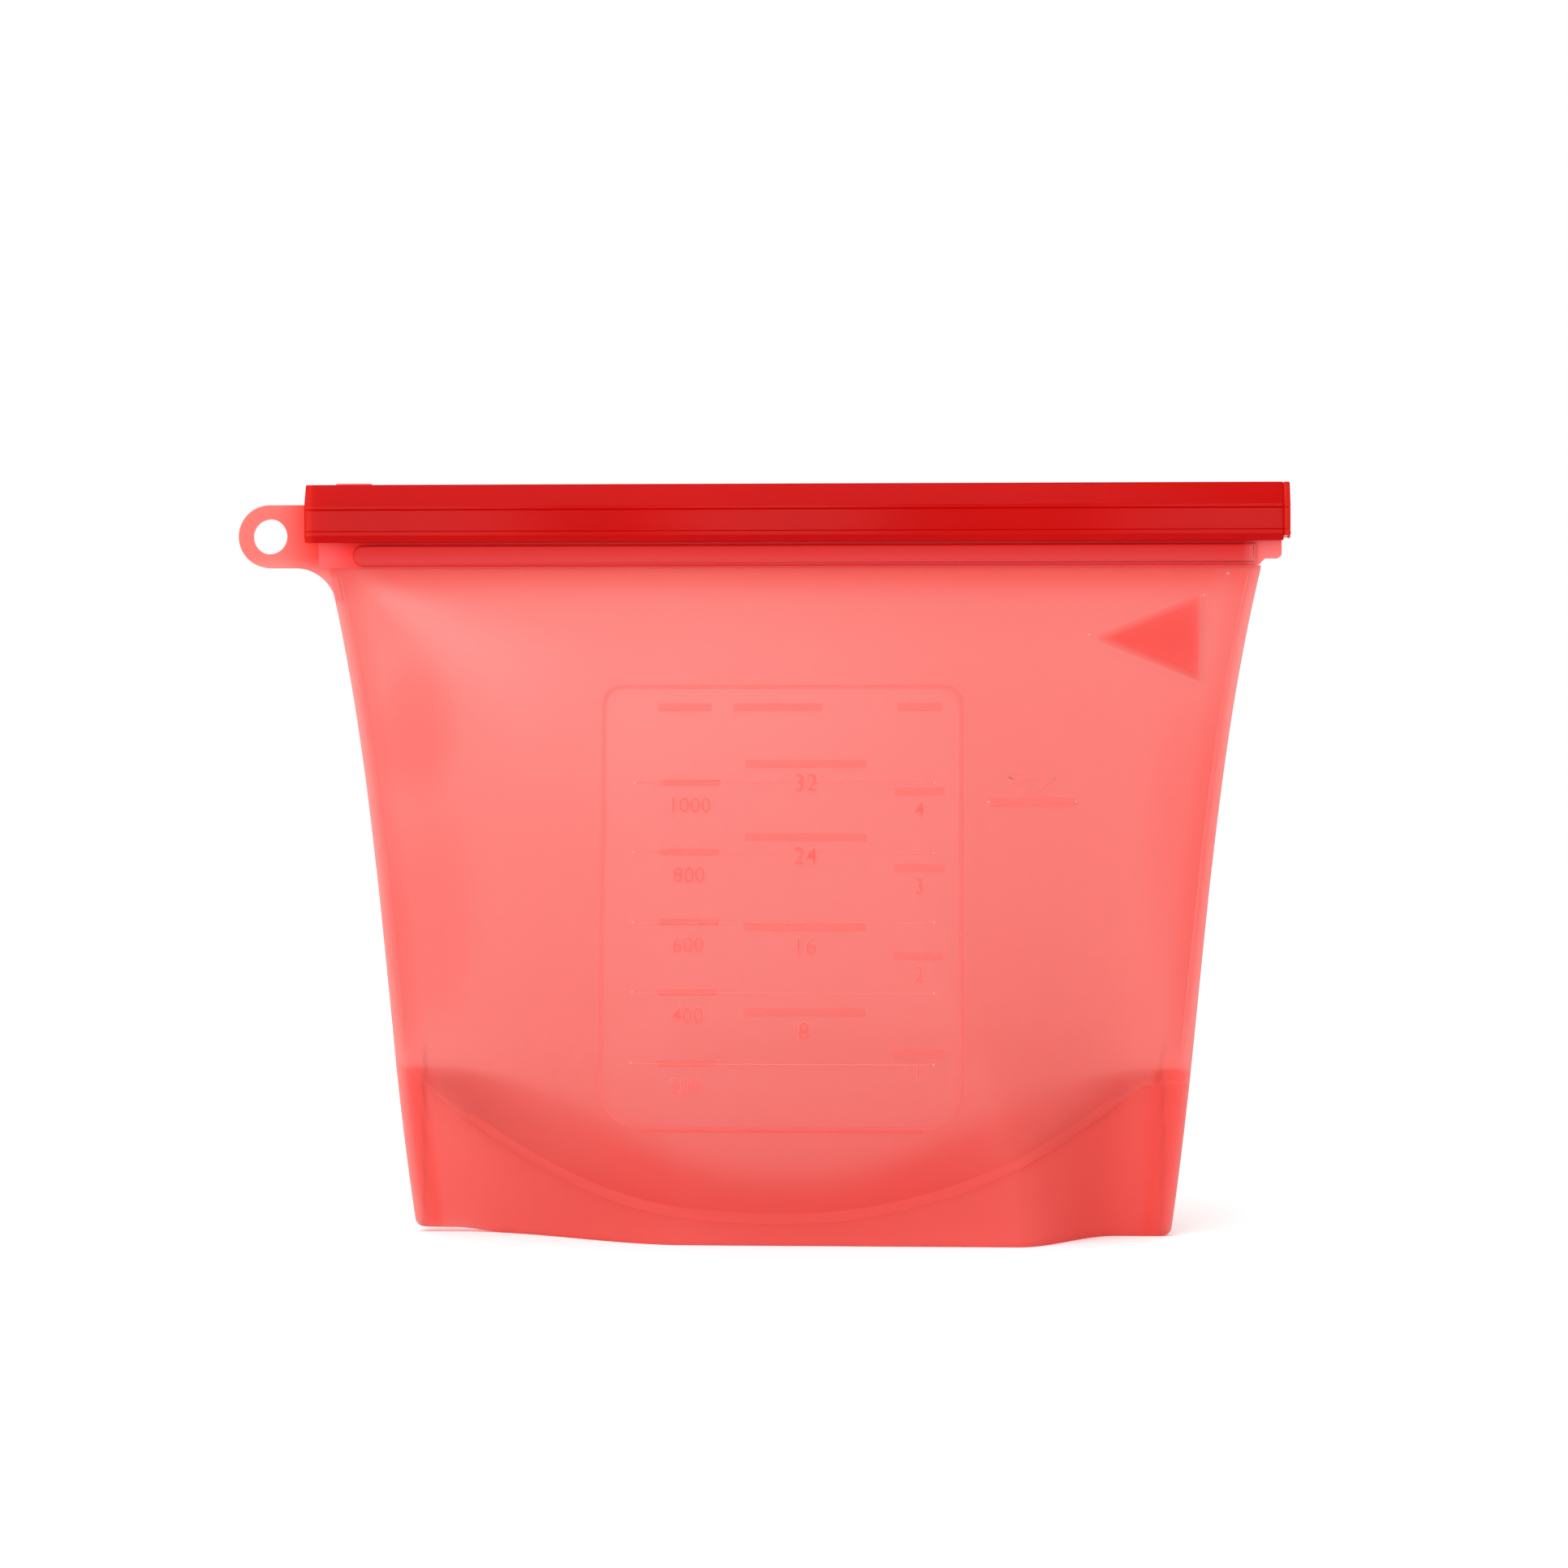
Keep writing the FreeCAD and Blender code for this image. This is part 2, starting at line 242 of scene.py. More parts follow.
def half_width(z):
    """Distance of the pouch's sides from its middle line. They flare out towards the mouth."""
    rise = z / FLARE_HEIGHT
    return FOOT_HALF_WIDTH + FLARE[0] * rise + FLARE[1] * rise ** 2 + FLARE[2] * rise ** 3


def wall_face_y(x, z):
    """Distance of a wall's outer face from the middle plane."""
    share = x / (half_width(z) - SEAM_WIDTH)
    spread = smooth_step(z / RISE_SPREAD_Z)
    right_rise = RIGHT_RISE_FOOT + (RIGHT_RISE_TOP - RIGHT_RISE_FOOT) * spread
    from_left = smooth_step((share + 1.0 - CORNER_FLAT) / LEFT_RISE)
    from_right = smooth_step((1.0 - CORNER_FLAT - share) / right_rise)
    climb = max(1.0 - z / MOUTH_Z, 0.0) ** CLIMB_POWER
    room_left = 1.0 - smooth_step((z - FOLD_SIDE_Z) / ROOM_FADE_Z)
    closed = MIDDLE_GAP + WALL_THICKNESS + (GUSSET_THICKNESS + 2.0 * SHEET_GAP) * room_left
    into_lip = smooth_step((z - MOUTH_Z + INTO_LIP_HEIGHT) / INTO_LIP_HEIGHT)
    closed += (LIP_THICKNESS - WALL_THICKNESS) * into_lip
    return closed + FOOT_HALF_DEPTH * climb * from_left * from_right


def wall_inside_y(x, z):
    """Distance of a wall's inner face from the middle plane."""
    if z > MOUTH_Z - INTO_LIP_HEIGHT:
        return MIDDLE_GAP
    step = 0.5
    low_z = max(z - step, 0.0)
    high_z = z + step
    slope_x = (wall_face_y(x + step, z) - wall_face_y(x - step, z)) / (2.0 * step)
    slope_z = (wall_face_y(x, high_z) - wall_face_y(x, low_z)) / (high_z - low_z)
    inside = wall_face_y(x, z) - WALL_THICKNESS * math.sqrt(1.0 + slope_x ** 2 + slope_z ** 2)
    return max(inside, MIDDLE_GAP)


def weld_z(x):
    """Height of the arched weld between a wall and the base panel."""
    spread, power = (WELD_RIGHT_SPREAD, WELD_RIGHT_POWER) if x > 0.0 else (1.0, WELD_POWER)
    share = min(spread * abs(x) / (FOOT_HALF_WIDTH - SEAM_WIDTH / 4.0), 1.0)
    return WELD_MIDDLE_Z + WELD_SIDE_GAIN * share ** power


def fold_z(x):
    """Height of the fold along the top of the base panel."""
    rise = smooth_step((abs(x) - FOLD_FLAT_HALF) / FOLD_RISE_LENGTH)
    return FOLD_MIDDLE_Z + (FOLD_SIDE_Z - FOLD_MIDDLE_Z) * rise


# Mesh building.


def add_object(name, data):
    thing = bpy.data.objects.new(name, data)
    bpy.context.scene.collection.objects.link(thing)
    return thing


def mesh_object(name, points, faces, smooth=True):
    """A mesh object from points in millimetres, with its normals pointing out.

    A smooth one keeps a sharp edge wherever its faces turn by SHARP_ANGLE or more.
    """
    mesh = bpy.data.meshes.new(name)
    mesh.from_pydata([to_row(point) for point in points], [], faces)
    shape = bmesh.new()
    shape.from_mesh(mesh)
    bmesh.ops.recalc_face_normals(shape, faces=shape.faces)
    shape.normal_update()
    for face in shape.faces:
        face.smooth = smooth
    for edge in shape.edges:
        edge.smooth = len(edge.link_faces) == 2 and edge.calc_face_angle(0.0) < SHARP_ANGLE
    shape.to_mesh(mesh)
    shape.free()
    return add_object(name, mesh)


def shell_faces(lines, count):
    """Faces of two grids of lines x count points, one after the other, and the numbers of the first's rim."""
    faces = []
    other = lines * count
    for line in range(lines - 1):
        for place in range(count - 1):
            a = line * count + place
            b = a + count
            faces.append((a, a + 1, b + 1, b))
            faces.append((other + b, other + b + 1, other + a + 1, other + a))
    ring = [(0, place) for place in range(count)]
    ring += [(line, count - 1) for line in range(1, lines)]
    ring += [(lines - 1, place) for place in range(count - 2, -1, -1)]
    ring += [(line, 0) for line in range(lines - 2, 0, -1)]
    return faces, [line * count + place for line, place in ring]


def shell_object(name, lines, rim_bulge=RIM_BULGE):
    """A sheet with a rounded rim, from lines of (outer point, inner point) pairs."""
    points = [Vector(pair[face]) for face in (0, 1) for line in lines for pair in line]
    faces, ring = shell_faces(len(lines), len(lines[0]))
    other = len(points) // 2
    middle = sum((points[number] for number in ring), Vector()) / len(ring)
    start = len(points)
    for place, number in enumerate(ring):
        before = points[ring[place - 1]]
        after = points[ring[(place + 1) % len(ring)]]
        across = points[number] - points[other + number]
        outward = across.cross(after - before).normalized()
        centre = (points[number] + points[other + number]) / 2.0
        if outward.dot(centre - middle) < 0.0:
            outward = -outward
        points.append(centre + outward * rim_bulge)
    for place, number in enumerate(ring):
        following = (place + 1) % len(ring)
        after = ring[following]
        faces.append((number, after, start + following, start + place))
        faces.append((start + place, start + following, other + after, other + number))
    return mesh_object(name, points, faces)


def rounded(corners, steps=4, support=0.0):
    """A closed outline from (a, b, radius) corners, with each corner as an arc.

    support adds a point on each side of an arc, so that the flats beside it are shaded flat.
    """
    outline = []
    for number, (a, b, radius) in enumerate(corners):
        here = Vector((a, b))
        before = (Vector(corners[number - 1][:2]) - here).normalized()
        after = (Vector(corners[(number + 1) % len(corners)][:2]) - here).normalized()
        if radius <= 0.0:
            outline.append(here)
            continue
        turn = before.angle(after)
        reach = radius / math.tan(turn / 2.0)
        centre = here + (before + after).normalized() * (radius / math.sin(turn / 2.0))
        first = here + before * reach - centre
        sweep = math.pi - turn
        side = 1.0 if before.cross(after) < 0.0 else -1.0
        if support:
            outline.append(centre + first + before * support)
        for step in range(steps + 1):
            angle = side * sweep * step / steps
            cosine = math.cos(angle)
            sine = math.sin(angle)
            outline.append(centre + Vector((
                first.x * cosine - first.y * sine,
                first.x * sine + first.y * cosine,
            )))
        if support:
            outline.append(outline[-1] + after * support)
    return outline


def circle(centre, radius, count=48):
    """A closed outline round a centre."""
    turns = [2.0 * math.pi * number / count for number in range(count)]
    return [centre + radius * Vector((math.cos(turn), math.sin(turn))) for turn in turns]


def area_of(outline):
    """Area inside an outline, below zero where it runs clockwise."""
    return sum(p.cross(outline[(i + 1) % len(outline)]) for i, p in enumerate(outline)) / 2.0


def inset(outline, amount):
    """The outline moved in by amount, or out of a hole's edge, whose turn is the other way round."""
    moved = []
    for number, here in enumerate(outline):
        before = here - outline[number - 1]
        after = outline[(number + 1) % len(outline)] - here
        normal = before.normalized() + after.normalized()
        normal = Vector((-normal.y, normal.x)).normalized()
        stretch = max(normal.dot(Vector((-after.y, after.x)).normalized()), 0.4)
        moved.append(here + normal * amount / stretch)
    return moved


def plate_object(name, loops, thickness, place, rounding, steps=3, holes=0):
    """A flat or long piece: closed outlines pushed through a thickness, with rounded edges.

    place(a, b, depth) gives the point in millimetres. The last loops are holes.
    """
    rings = []
    for number, loop in enumerate(loops):
        is_hole = number >= len(loops) - holes
        if (area_of(loop) < 0.0) != is_hole:
            loop = loop[::-1]
        rings.append(loop)
    angles = [math.pi / 2.0 * step / steps for step in range(steps + 1)]
    profile = [(rounding * (1.0 - math.sin(a)), rounding * (1.0 - math.cos(a))) for a in angles]
    layers = list(profile)
    if thickness > 6.0 * rounding + 1.0:
        layers += [(0.0, 2.0 * rounding), (0.0, thickness - 2.0 * rounding)]
    layers += [(amount, thickness - depth) for amount, depth in reversed(profile)]
    points = []
    faces = []
    caps = ([], [])
    for ring in rings:
        starts = []
        for amount, depth in layers:
            starts.append(len(points))
            points += [place(p.x, p.y, depth) for p in inset(ring, amount)]
        size = len(ring)
        for low, high in zip(starts, starts[1:]):
            for number in range(size):
                following = (number + 1) % size
                faces.append((low + number, low + following, high + following, high + number))
        for cap, start in zip(caps, (starts[0], starts[-1])):
            cap.append((range(start, start + size), inset(ring, rounding)))
    for cap in caps:
        numbers = [number for ring_numbers, _ in cap for number in ring_numbers]
        flat = [[Vector((p.x, p.y, 0.0)) for p in ring] for _, ring in cap]
        faces += [tuple(numbers[corner] for corner in face) for face in tessellate_polygon(flat)]
    return mesh_object(name, points, faces)


def join_points(first, second, count):
    """Evenly spaced points from one to the other, without the last."""
    return [first.lerp(second, step / count) for step in range(count)]


# Materials.


def node_material(name):
    material = bpy.data.materials.new(name)
    material.use_nodes = True
    tree = material.node_tree
    tree.nodes.clear()
    output = tree.nodes.new("ShaderNodeOutputMaterial")
    return material, tree, output


def feed(tree, socket, value):
    """Sets a socket to a plain value, or links another socket to it."""
    if isinstance(value, bpy.types.NodeSocket):
        tree.links.new(value, socket)
    else:
        socket.default_value = value


def calculate(tree, operation, first, second=0.0):
    node = tree.nodes.new("ShaderNodeMath")
    node.operation = operation
    feed(tree, node.inputs[0], first)
    feed(tree, node.inputs[1], second)
    return node.outputs[0]


def product(tree, total, *others):
    for other in others:
        total = calculate(tree, "MULTIPLY", total, other)
    return total


def opposite(tree, value):
    """1 less the value."""
    return calculate(tree, "SUBTRACT", 1.0, value)


def ease(tree, value, start, end):
    """0 before start and 1 after end, with a smooth step between them."""
    node = tree.nodes.new("ShaderNodeMapRange")
    node.interpolation_type = "SMOOTHSTEP"
    feed(tree, node.inputs["Value"], value)
    node.inputs["From Min"].default_value = start
    node.inputs["From Max"].default_value = end
    return node.outputs[0]


def fade(tree, value, start, end):
    """1 before start and 0 after end, with a smooth step between them."""
    return opposite(tree, ease(tree, value, start, end))


def strip(tree, value, start, end, soft):
    """1 from start to end and 0 outside, with soft edges."""
    rise = ease(tree, value, start - soft, start + soft)
    fall = ease(tree, value, end - soft, end + soft)
    return calculate(tree, "SUBTRACT", rise, fall)


def mix_colours(tree, share, first, second):
    node = tree.nodes.new("ShaderNodeMix")
    node.data_type = "RGBA"
    feed(tree, node.inputs[0], share)
    for socket, colour in ((node.inputs[6], first), (node.inputs[7], second)):
        if isinstance(colour, tuple):
            colour = (*colour, 1.0)
        feed(tree, socket, colour)
    return node.outputs[2]


def mix_values(tree, share, first, second):
    node = tree.nodes.new("ShaderNodeMix")
    feed(tree, node.inputs[0], share)
    feed(tree, node.inputs[2], first)
    feed(tree, node.inputs[3], second)
    return node.outputs[0]


def noise(tree, coordinates, scale, detail):
    node = tree.nodes.new("ShaderNodeTexNoise")
    node.inputs["Scale"].default_value = scale
    node.inputs["Detail"].default_value = detail
    tree.links.new(coordinates, node.inputs["Vector"])
    return node.outputs["Fac"]


def bump(tree, height, strength, distance):
    node = tree.nodes.new("ShaderNodeBump")
    node.inputs["Strength"].default_value = strength
    node.inputs["Distance"].default_value = distance
    tree.links.new(height, node.inputs["Height"])
    return node.outputs["Normal"]


def places(tree):
    """Object coordinates, and from them x and z in millimetres from the pouch's middle line."""
    coordinates = tree.nodes.new("ShaderNodeTexCoord").outputs["Object"]
    split = tree.nodes.new("ShaderNodeSeparateXYZ")
    tree.links.new(coordinates, split.inputs[0])
    shifted = calculate(tree, "SUBTRACT", split.outputs["X"], MIDDLE_X)
    return coordinates, product(tree, shifted, 1.0 / MM), product(tree, split.outputs["Z"], 1.0 / MM)


def scaled_sum(tree, *pairs):
    """Sum of (weight, socket) pairs."""
    total = 0.0
    for weight, socket in pairs:
        part = calculate(tree, "MULTIPLY", socket, weight)
        total = calculate(tree, "ADD", part, total)
    return total


def edge_distance(tree, side, z):
    """Distance in from the pouch's side, which follows half_width()."""
    rise = product(tree, z, 1.0 / FLARE_HEIGHT)
    square = product(tree, rise, rise)
    cube = product(tree, square, rise)
    flare = scaled_sum(tree, (FLARE[0], rise), (FLARE[1], square), (FLARE[2], cube), (-1.0, side))
    return calculate(tree, "ADD", flare, FOOT_HALF_WIDTH)


def height_over_weld(tree, side, z, on_right):
    """Height above the arched weld, which follows weld_z()."""
    share = product(tree, side, 1.0 / (FOOT_HALF_WIDTH - SEAM_WIDTH / 4.0))
    left_power = calculate(tree, "POWER", share, WELD_POWER)
    right_share = calculate(tree, "MINIMUM", product(tree, share, WELD_RIGHT_SPREAD), 1.0)
    right_power = calculate(tree, "POWER", right_share, WELD_RIGHT_POWER)
    power = mix_values(tree, on_right, left_power, right_power)
    weld = calculate(tree, "ADD", product(tree, power, WELD_SIDE_GAIN), WELD_MIDDLE_Z)
    return calculate(tree, "SUBTRACT", z, weld)


def height_over_fold(tree, side, z):
    """Height above the base panel's fold, which follows fold_z()."""
    rise = ease(tree, side, FOLD_FLAT_HALF, FOLD_FLAT_HALF + FOLD_RISE_LENGTH)
    fold = calculate(tree, "ADD", product(tree, rise, FOLD_SIDE_Z - FOLD_MIDDLE_Z), FOLD_MIDDLE_Z)
    return calculate(tree, "SUBTRACT", z, fold)


def skirt_shade_share(tree, x, z, edge, below_weld, on_right):
    """1 where the wall lies on the base panel, below the weld and in the corners, and more far right. It
    masks painted shade of the base panel seen through the wall.
    """
    inside_seam = mix_values(tree, on_right, ease(tree, edge, -0.5, 3.8), ease(tree, edge, -1.5, 2.6))
    corner = product(tree, fade(tree, edge, 6.5, 9.5), fade(tree, z, FOLD_SIDE_Z - 0.4, FOLD_SIDE_Z + 0.8))
    joined = calculate(tree, "MAXIMUM", below_weld, corner)
    # Painted shade deepens towards the far right seam.
    far_right_shade = scaled_sum(tree, (0.25, ease(tree, x, 55.0, 75.0)), (0.9, ease(tree, x, 80.0, 85.0)))
    return product(tree, joined, inside_seam, calculate(tree, "ADD", far_right_shade, 1.0))


def patches(tree, x, z, spots):
    """(weight, socket) pairs of soft round patches."""
    return [(weight, patch(tree, x, z, middle, radii)) for weight, middle, radii in spots]


def wall_tones(tree, x, z):
    """How much darker and how much lighter the wall is at a place than one plain sheet. Most of both is
    painted shade and painted light.
    """
    side = calculate(tree, "ABSOLUTE", x)
    on_right = calculate(tree, "GREATER_THAN", x, 0.0)
    edge = edge_distance(tree, side, z)
    over_weld = height_over_weld(tree, side, z, on_right)
    below_weld = fade(tree, over_weld, -0.7, 0.1)
    panel = panel_share(tree, x, z)
    skirt_shade = skirt_shade_share(tree, x, z, edge, below_weld, on_right)
    # Painted shade just below the weld and a painted highlight just above it, where the bead would catch the
    # light.
    weld_shadow = strip(tree, over_weld, -0.9, -0.4, 0.25)
    weld_highlight = strip(tree, over_weld, 0.1, 0.7, 0.25)
    # Painted shade of the folded base seen through the wall, above the weld and outside the panel.
    behind = product(
        tree, fade(tree, height_over_fold(tree, side, z), -4.0, 6.0), opposite(tree, panel),
        opposite(tree, below_weld), fade(tree, side, 25.0, 70.0),
    )
    # Painted shade of a groove along the sides, deeper below the base panel's fold.
    groove = strip(tree, edge, 1.6, 6.0, 1.6)
    low_groove = product(tree, groove, fade(tree, z, FOLD_SIDE_Z - 1.0, FOLD_SIDE_Z + 1.0))
    lowness = opposite(tree, product(tree, z, 1.0 / MOUTH_Z))
    # Painted shade along the foot's bottom edge.
    foot = fade(tree, z, 0.4, 1.4)
    # Painted shade under the slide bar, weaker near the sides, with a fainter band further down.
    from_side = mix_values(tree, ease(tree, edge, 0.0, 14.0), 0.35, 1.0)
    mouth = product(tree, ease(tree, z, MOUTH_Z - 9.0, MOUTH_Z + 0.5), from_side)
    under_mouth = ease(tree, z, MOUTH_Z - 22.0, MOUTH_Z - 6.0)
    # Painted shade makes most of this sum; its x ramp darkens the right-hand side, which faces away from the
    # key light.
    darker = scaled_sum(
        tree, (0.46, skirt_shade), (0.18, groove), (0.45, low_groove), (0.20, lowness), (0.15, weld_shadow),
        (0.62, mouth), (0.10, under_mouth), (0.11, ease(tree, x, -70.0, 115.0)), (0.30, foot),
        (0.55, behind), *patches(tree, x, z, PAINTED_SHADE_PATCHES),
    )
    # Painted light: along the sides' edges, over the weld, in the corner fan and in the listed patches.
    lighter = scaled_sum(
        tree, (0.10, fade(tree, edge, 0.6, 2.6)), (0.12, weld_highlight), (0.07, panel),
        (0.27, corner_fan_highlight(tree, x, z)), *patches(tree, x, z, PAINTED_LIGHT_PATCHES),
    )
    return darker, lighter


def corner_fan_highlight(tree, x, z):
    """1 along the stretched fold that fans out and down from the mouth's left corner, and 0 elsewhere. It
    masks a painted highlight where the fold catches the light.
    """
    right = calculate(tree, "SUBTRACT", x, FAN_START[0])
    up = calculate(tree, "SUBTRACT", z, FAN_START[1])
    along = scaled_sum(tree, (FAN_DIRECTION[0], right), (FAN_DIRECTION[1], up))
    across = scaled_sum(tree, (-FAN_DIRECTION[1], right), (FAN_DIRECTION[0], up))
    slope = calculate(tree, "DIVIDE", across, calculate(tree, "MAXIMUM", along, 1.0))
    width = strip(tree, slope, -0.20, 0.20, 0.20)
    length = calculate(tree, "SUBTRACT", ease(tree, along, 2.0, 12.0), ease(tree, along, 16.0, 70.0))
    return product(tree, width, length)


def lip_tones(tree, x, z):
    """The lips and ribs get painted shade under the bar. Past the pouch's sides they are paler, partly
    because only the lip is there and partly as painted light from the side.
    """
    right = ease(tree, x, 103.0, 109.0)
    left = fade(tree, x, -110.0, -101.0)
    return ease(tree, z, MOUTH_Z + 1.0, MOUTH_Z + 5.5), scaled_sum(tree, (0.35, right), (0.2, left))


def gusset_tones(tree, x, z):
    """The folded base has painted shade in its middle, where it lies deepest. It has one tone from foot to
    fold.
    """
    return fade(tree, calculate(tree, "ABSOLUTE", x), 15.0, 60.0), 0.0


def tab_tones(tree, x, z):
    """The hang tab is darker towards the mouth, and paler again where it meets the pouch's side."""
    low = fade(tree, z, MOUTH_Z - 3.0, MOUTH_Z + 3.0)
    return ease(tree, x, -121.0, -108.0), product(tree, low, 0.55)


def arrow_tones(tree, x, z):
    """The wedge fades out towards its tip and its two slanted sides."""
    low, high = from_box("slide_arrow")
    half_height = (high.z - low.z) / 2.0
    reach = product(tree, calculate(tree, "SUBTRACT", x, low.x), half_height / (high.x - low.x))
    offset = calculate(tree, "ABSOLUTE", calculate(tree, "SUBTRACT", z, (high.z + low.z) / 2.0))
    return ease(tree, calculate(tree, "SUBTRACT", reach, offset), -0.6, 1.8), 0.0


def patch(tree, x, z, middle, radii):
    """1 in the middle of a soft round patch, and 0 outside it."""
    total = 0.0
    for value, centre, radius in zip((x, z), middle, radii):
        offset = product(tree, calculate(tree, "SUBTRACT", value, centre), 1.0 / radius)
        total = calculate(tree, "ADD", product(tree, offset, offset), total)
    return fade(tree, total, 0.0, 1.0)


def panel_share(tree, x, z):
    """1 inside the measuring panel's rounded outline and 0 outside it."""
    radius = PANEL_CORNER
    middle_z = (PANEL_LOW_Z + PANEL_HIGH_Z) / 2.0
    half_height = (PANEL_HIGH_Z - PANEL_LOW_Z) / 2.0
    squares = []
    for value, middle, half in ((x, PANEL_MIDDLE_X, PANEL_HALF_WIDTH), (z, middle_z, half_height)):
        offset = calculate(tree, "ABSOLUTE", calculate(tree, "SUBTRACT", value, middle))
        past = calculate(tree, "MAXIMUM", calculate(tree, "SUBTRACT", offset, half - radius), 0.0)
        squares.append(product(tree, past, past))
    distance = calculate(tree, "SQRT", calculate(tree, "ADD", *squares))
    return fade(tree, distance, radius - 0.4, radius + 0.4)


def principled(tree, colour, normal, roughness, ior, specular):
    shader = tree.nodes.new("ShaderNodeBsdfPrincipled")
    shader.inputs["Roughness"].default_value = roughness
    shader.inputs["IOR"].default_value = ior
    shader.inputs["Specular IOR Level"].default_value = specular
    tree.links.new(colour, shader.inputs["Base Color"])
    tree.links.new(normal, shader.inputs["Normal"])
    return shader


def mix_shaders(tree, share, first, second):
    node = tree.nodes.new("ShaderNodeMixShader")
    node.inputs[0].default_value = share
    tree.links.new(first.outputs[0], node.inputs[1])
    tree.links.new(second.outputs[0], node.inputs[2])
    return node


def silicone_colours(tree, coordinates, tones, front, through, front_depth):
    """The silicone's surface colour and that of the light through it, by the tones given as two sockets,
    mostly painted shade and painted light, and by random cloudiness.
    """
    tone_darker, lighter = tones
    cloud = noise(tree, coordinates, 22.0, 2.0)
    darker = calculate(tree, "ADD", product(tree, cloud, 0.12), tone_darker)
    deep_front = (front[0], front[1] ** front_depth, front[2] ** front_depth)
    deep_through = tuple(value ** 2.5 for value in through)
    own = mix_colours(tree, darker, front, deep_front)
    own = mix_colours(tree, lighter, own, PALE_FRONT)
    passing = mix_colours(tree, product(tree, darker, 0.75), through, deep_through)
    passing = mix_colours(tree, lighter, passing, PALE_THROUGH)
    return own, passing


def silicone(name, front, through, scatter, clear=0.0, tones=None, front_depth=1.5):
    """Satin silicone. front is its own colour, and through tints the light that passes each face.

    scatter is the share of light that passes diffusely, and clear the share that passes nearly straight.
    tones(tree, x, z) gives how much darker and lighter a place is, mostly as painted shade and painted light,
    and front_depth how deep dark places are.
    """
    material, tree, output = node_material(name)
    coordinates, x, z = places(tree)
    given = tones(tree, x, z) if tones else (0.0, 0.0)
    own, passing = silicone_colours(tree, coordinates, given, front, through, front_depth)
    grain = bump(tree, noise(tree, coordinates, 2600.0, 3.0), 0.15, 0.0001)
    solid = principled(tree, own, grain, 0.36, SILICONE_IOR, 1.0 if clear else 0.3)
    passed = tree.nodes.new("ShaderNodeBsdfTranslucent")
    tree.links.new(passing, passed.inputs["Color"])
    if clear:
        bent = tree.nodes.new("ShaderNodeBsdfRefraction")
        bent.inputs["Roughness"].default_value = 0.55
        bent.inputs["IOR"].default_value = SILICONE_IOR
        tree.links.new(passing, bent.inputs["Color"])
        passed = mix_shaders(tree, clear / (scatter + clear), passed, bent)
    surface = mix_shaders(tree, scatter + clear, solid, passed)
    tree.links.new(surface.outputs[0], output.inputs["Surface"])
    return material


def bar_plastic():
    """Clear red moulded plastic: glossy, slightly wavy along its length, and with a painted highlight at its
    two ends.
    """
    material, tree, output = node_material("slide_bar_plastic")
    coordinates, x, _ = places(tree)
    stretch = tree.nodes.new("ShaderNodeMapping")
    stretch.inputs["Scale"].default_value = (14.0, 60.0, 110.0)
    tree.links.new(coordinates, stretch.inputs["Vector"])
    waves = noise(tree, stretch.outputs[0], 1.0, 1.0)
    flow = noise(tree, coordinates, 45.0, 2.0)
    start_x = from_box("clamp_bar")[0].x
    cap_x = from_box("clamp_end_cap")[0].x
    # Painted highlight at both ends of the bar.
    left_end_highlight = fade(tree, x, start_x + 1.2, start_x + 2.2)
    right_end_highlight = ease(tree, x, cap_x - 0.2, cap_x + 0.2)
    colour = mix_colours(tree, flow, (0.47, 0.001, 0.001), (0.55, 0.003, 0.002))
    colour = mix_colours(tree, calculate(tree, "ADD", left_end_highlight, right_end_highlight), colour, (0.60, 0.014, 0.006))
    solid = principled(tree, colour, bump(tree, waves, 1.0, 0.0003), 0.12, BAR_IOR, 0.09)
    scattered = tree.nodes.new("ShaderNodeBsdfTranslucent")
    scattered.inputs["Color"].default_value = (0.95, 0.02, 0.015, 1.0)
    surface = mix_shaders(tree, 0.35, solid, scattered)
    tree.links.new(surface.outputs[0], output.inputs["Surface"])
    return material


# The part's materials.
SHEET = silicone("silicone_wall", FRONT_COLOUR, THROUGH_COLOUR, 0.50, 0.35, wall_tones)
GUSSET = silicone("silicone_gusset", (1.0, 0.20, 0.18), (1.0, 0.77, 0.755), 0.50, 0.35, gusset_tones, 2.0)
TAB = silicone("silicone_tab", (1.0, 0.17, 0.14), (1.0, 0.48, 0.45), 0.75, 0.0, tab_tones)
LIP = silicone("silicone_lip", (0.94, 0.056, 0.056), (1.0, 0.42, 0.42), 0.35, 0.0, lip_tones)
RIB = silicone("silicone_rib", (0.60, 0.033, 0.034), (1.0, 0.40, 0.40), 0.30, 0.0, lip_tones)
ARROW = silicone("silicone_arrow", (0.84, 0.25, 0.225), (1.0, 0.82, 0.81), 0.8, 0.0, arrow_tones)
RELIEF = silicone("silicone_relief", FRONT_COLOUR, (1.0, 0.905, 0.90), 0.85)
DEEP_RELIEF = silicone("silicone_deep_relief", FRONT_COLOUR, (1.0, 0.74, 0.73), 0.85)
BAR = bar_plastic()


def finish_piece(piece, material, *nodes, body="bag", slot="silicone"):
    """Gives a piece its material and body, and hides the CAD nodes that it stands for. slot is not used."""
    piece.data.materials.append(material)
    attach(piece, body)
    if nodes:
        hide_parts(*nodes)


# The pouch's sheets.


def wall_heights():
    """Heights of a wall's rows of points, close together round the corners at its foot."""
    turns = [math.pi / 2.0 * step / FOOT_CORNER_LINES for step in range(FOOT_CORNER_LINES)]
    start = RIM_BULGE + FOOT_CORNER
    rows = [start - FOOT_CORNER * math.cos(turn) for turn in turns]
    return rows + [start + (MOUTH_Z - start) * line / (WALL_LINES - 1) for line in range(WALL_LINES)]


